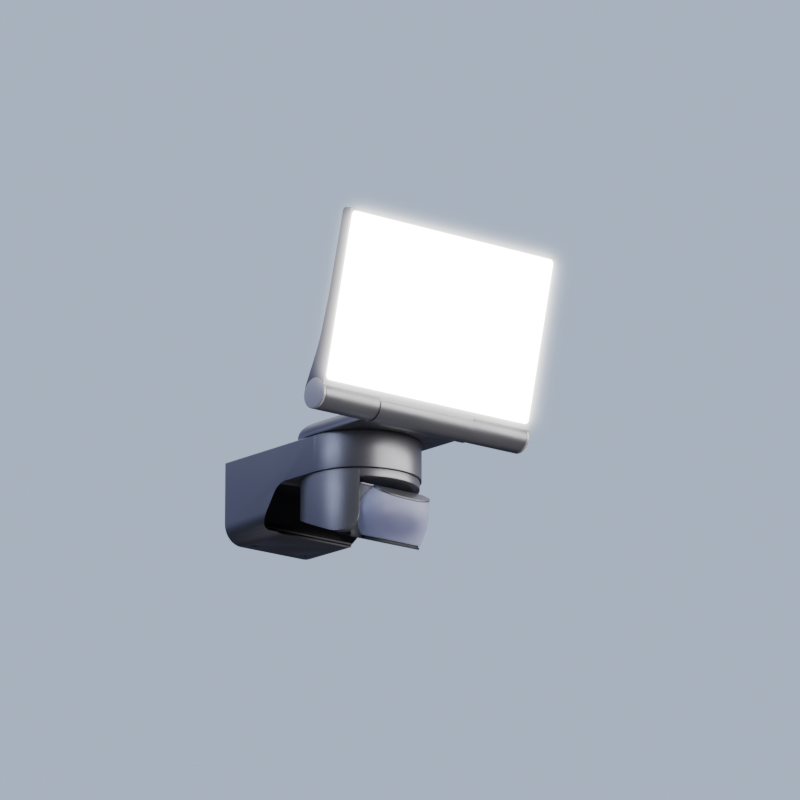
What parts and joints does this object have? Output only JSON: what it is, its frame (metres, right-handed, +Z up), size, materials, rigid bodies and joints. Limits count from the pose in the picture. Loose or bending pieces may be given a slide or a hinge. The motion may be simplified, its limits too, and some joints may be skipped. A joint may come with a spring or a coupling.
{
  "type": "wall-mounted sensor floodlight",
  "caption": "Wall floodlight: a wide flat LED head on a swivelling, tilting neck, over a bracket arm that carries a swivelling, tilting motion sensor.",
  "frame": {"origin": "on the wall, midway between the two wall screws", "axes": "+Y into the wall, +Z up, +X to the right for someone who faces the wall"},
  "size_m": [0.18, 0.1926, 0.2033],
  "materials": {
    "silver_shell": "moulded plastic with a satin silver-grey metallic lacquer",
    "silver_cap": "moulded plastic with the same satin silver-grey lacquer",
    "grey_base": "fine-textured moulded grey plastic",
    "dark_plastic": "fine-textured moulded black plastic",
    "black_rubber": "moulded black rubber",
    "lead_jacket": "black flexible insulation",
    "lit_diffuser": "opal sheet, lit evenly from behind",
    "white_seal": "white silicone foam",
    "clear_guide": "clear acrylic with a fine dot print",
    "white_film": "white reflective film",
    "bare_aluminium": "mill finish sheet",
    "white_board": "white solder mask",
    "led_chip": "yellow phosphor under clear resin",
    "circuit_board": "green solder mask",
    "transformer_tape": "yellow polyester tape over a ferrite core",
    "capacitor_sleeve": "shrunk dark sleeve",
    "relay_case": "smooth blue case",
    "terminal_plastic": "smooth pale plastic",
    "brass_screw": "turned, plated",
    "steel_screw": "zinc plated",
    "spring_steel": "stamped spring steel",
    "acetal_bush": "natural acetal, slightly waxy",
    "milky_lens": "milky polyethylene, translucent",
    "detector_can": "plated metal can with a dark filter window",
    "clear_epoxy": "clear epoxy dome",
    "potentiometer_case": "smooth blue case",
    "dial_plastic": "moulded pale plastic"
  },
  "bodies": {
    "bracket": {"bracket_housing": "silver_shell", "wall_plate": "dark_plastic", "housing_seal": "black_rubber", "housing_screws": "steel_screw", "cable_gland": "black_rubber", "terminal_block": "terminal_plastic", "terminal_screws": "brass_screw", "driver_board": "circuit_board", "driver_transformer": "transformer_tape", "driver_capacitors": "capacitor_sleeve", "driver_relay": "relay_case", "neck_bush": "acetal_bush", "sensor_bush": "acetal_bush", "arm_lead": "lead_jacket"},
    "neck": {"neck_base": "silver_shell", "neck_shell": "silver_shell", "neck_clip": "spring_steel", "neck_screws": "steel_screw", "friction_pad": "black_rubber", "neck_lead": "lead_jacket"},
    "lamp_head": {"rear_housing": "silver_shell", "diffuser": "lit_diffuser", "diffuser_seal": "white_seal", "light_guide": "clear_guide", "reflector_film": "white_film", "heat_spreader": "bare_aluminium", "led_strip": "white_board", "leds": "led_chip", "end_cap_left": "silver_cap", "end_cap_right": "silver_cap", "head_lead": "lead_jacket"},
    "sensor_swivel": {"sensor_ring": "silver_shell", "sensor_cheek": "silver_shell", "sensor_carrier": "dark_plastic", "carrier_clip": "spring_steel", "tilt_bush": "acetal_bush", "sensor_lead": "lead_jacket"},
    "sensor_head": {"sensor_housing": "silver_shell", "sensor_base": "grey_base", "sensor_lens": "milky_lens", "sensor_board": "circuit_board", "infrared_detector": "detector_can", "daylight_cell": "clear_epoxy", "control_board": "circuit_board", "potentiometers": "potentiometer_case", "tilt_axle": "dark_plastic", "tilt_clip": "spring_steel", "tilt_washer": "spring_steel"},
    "time_dial": {"time_dial": "dial_plastic"},
    "twilight_dial": {"twilight_dial": "dial_plastic"}
  },
  "joints": [
    {"name": "neck_swivel", "type": "hinge", "parent": "bracket", "child": "neck", "pos_m": [0, -0.094, 0.0285], "axis": [0, 0, 1], "range_deg": [-90, 90]},
    {"name": "lamp_tilt", "type": "hinge", "parent": "neck", "child": "lamp_head", "pos_m": [0, -0.1545, 0.0365], "axis": [1, 0, 0], "range_deg": [-40, 10]},
    {"name": "sensor_swivel", "type": "hinge", "parent": "bracket", "child": "sensor_swivel", "pos_m": [0, -0.094, 0.003], "axis": [0, 0, 1], "range_deg": [-90, 90]},
    {"name": "sensor_tilt", "type": "hinge", "parent": "sensor_swivel", "child": "sensor_head", "pos_m": [-0.02, -0.111, -0.022], "axis": [1, 0, 0], "range_deg": [-18, 30]},
    {"name": "time_setting", "type": "hinge", "parent": "sensor_head", "child": "time_dial", "pos_m": [-0.0045, -0.10722, -0.04012], "axis": [0, -0.309, 0.9511], "range_deg": [0, 270]},
    {"name": "twilight_setting", "type": "hinge", "parent": "sensor_head", "child": "twilight_dial", "pos_m": [0.0155, -0.10722, -0.04012], "axis": [0, -0.309, 0.9511], "range_deg": [0, 270]}
  ]
}
